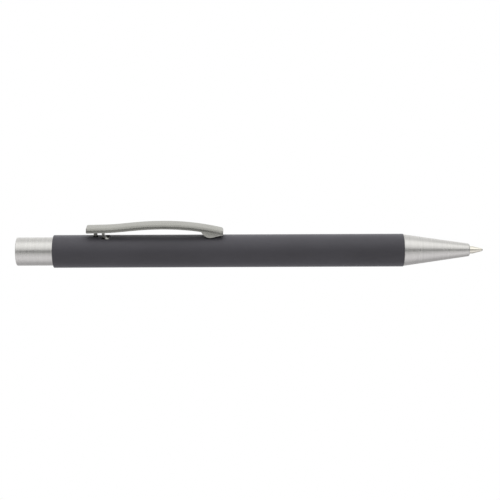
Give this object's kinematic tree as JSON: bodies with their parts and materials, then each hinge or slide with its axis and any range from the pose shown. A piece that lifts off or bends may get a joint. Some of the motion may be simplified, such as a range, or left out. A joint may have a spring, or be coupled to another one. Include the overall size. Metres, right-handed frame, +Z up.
{
  "type": "retractable ballpoint pen",
  "caption": "Slim push-button ballpoint pen with a straight round barrel, tapered metal nose, bowed spring clip and a click mechanism that moves a metal refill.",
  "frame": {"origin": "centre of the push button's rear face, on the pen's axis, with the writing tip out", "axes": "+X along the pen from the button to the writing tip, +Z up through the middle of the clip, +Y to the left of someone who looks along +X with the clip on top"},
  "size_m": [0.142, 0.01, 0.0143],
  "materials": {
    "soft_touch_grey": "metal tube under a matt soft-touch coating",
    "satin_silver": "fine-turned satin silver",
    "satin_nickel": "stamped spring steel with a satin nickel finish",
    "brass": "plain turned brass",
    "white_acetal": "moulded acetal",
    "black_acetal": "moulded acetal",
    "blue_acetal": "moulded acetal",
    "spring_steel": "drawn music wire",
    "refill_steel": "drawn and plated steel tube",
    "refill_plastic": "moulded plug",
    "nickel_silver": "turned nickel silver",
    "carbide": "ground tungsten carbide",
    "ink": "ballpoint paste",
    "grease": "clear follower grease"
  },
  "bodies": {
    "barrel": {"barrel_tube": "soft_touch_grey", "thread_bush": "brass", "click_guide": "white_acetal"},
    "clip_strip": {"clip": "satin_nickel"},
    "button": {"push_button": "satin_silver", "plunger": "black_acetal"},
    "cam": {"rotor": "blue_acetal"},
    "refill": {"refill_tube": "refill_steel", "refill_crown": "refill_plastic", "refill_tip": "nickel_silver", "ink_column": "ink", "ink_follower": "grease"},
    "ball": {"tip_ball": "carbide"},
    "spring": {"return_spring": "spring_steel"},
    "nose": {"nose_cone": "satin_silver"}
  },
  "joints": [
    {"name": "button_press", "type": "slide", "parent": "barrel", "child": "button", "axis": [1, 0, 0], "range_m": [-0.0053, 0.0012]},
    {"name": "rotor_turn", "type": "hinge", "parent": "button", "child": "cam", "pos_m": [0.04, 0, 0], "axis": [1, 0, 0], "continuous": true},
    {"name": "refill_slide", "type": "slide", "parent": "barrel", "child": "refill", "axis": [1, 0, 0], "range_m": [-0.0053, 0.0012], "deforming": ["return_spring"]},
    {"name": "ball_roll", "type": "hinge", "parent": "refill", "child": "ball", "pos_m": [0.1416, 0, 0], "axis": [0, 1, 0], "continuous": true},
    {"name": "clip_flex", "type": "hinge", "parent": "barrel", "child": "clip_strip", "pos_m": [0.0278, 0, 0.0044], "axis": [0, -1, 0], "range_deg": [0, 3]},
    {"name": "nose_turn", "type": "hinge", "parent": "barrel", "child": "spring", "pos_m": [0.1177, 0, 0], "axis": [1, 0, 0], "range_deg": [0, 2880]},
    {"name": "nose_travel", "type": "slide", "parent": "spring", "child": "nose", "axis": [1, 0, 0], "range_m": [0, 0.006]}
  ],
  "couplings": [
    {"joint": "refill_slide", "follows": "button_press", "ratio": 1},
    {"joint": "nose_turn", "follows": "nose_travel", "rad_per_m": 8377.6}
  ]
}
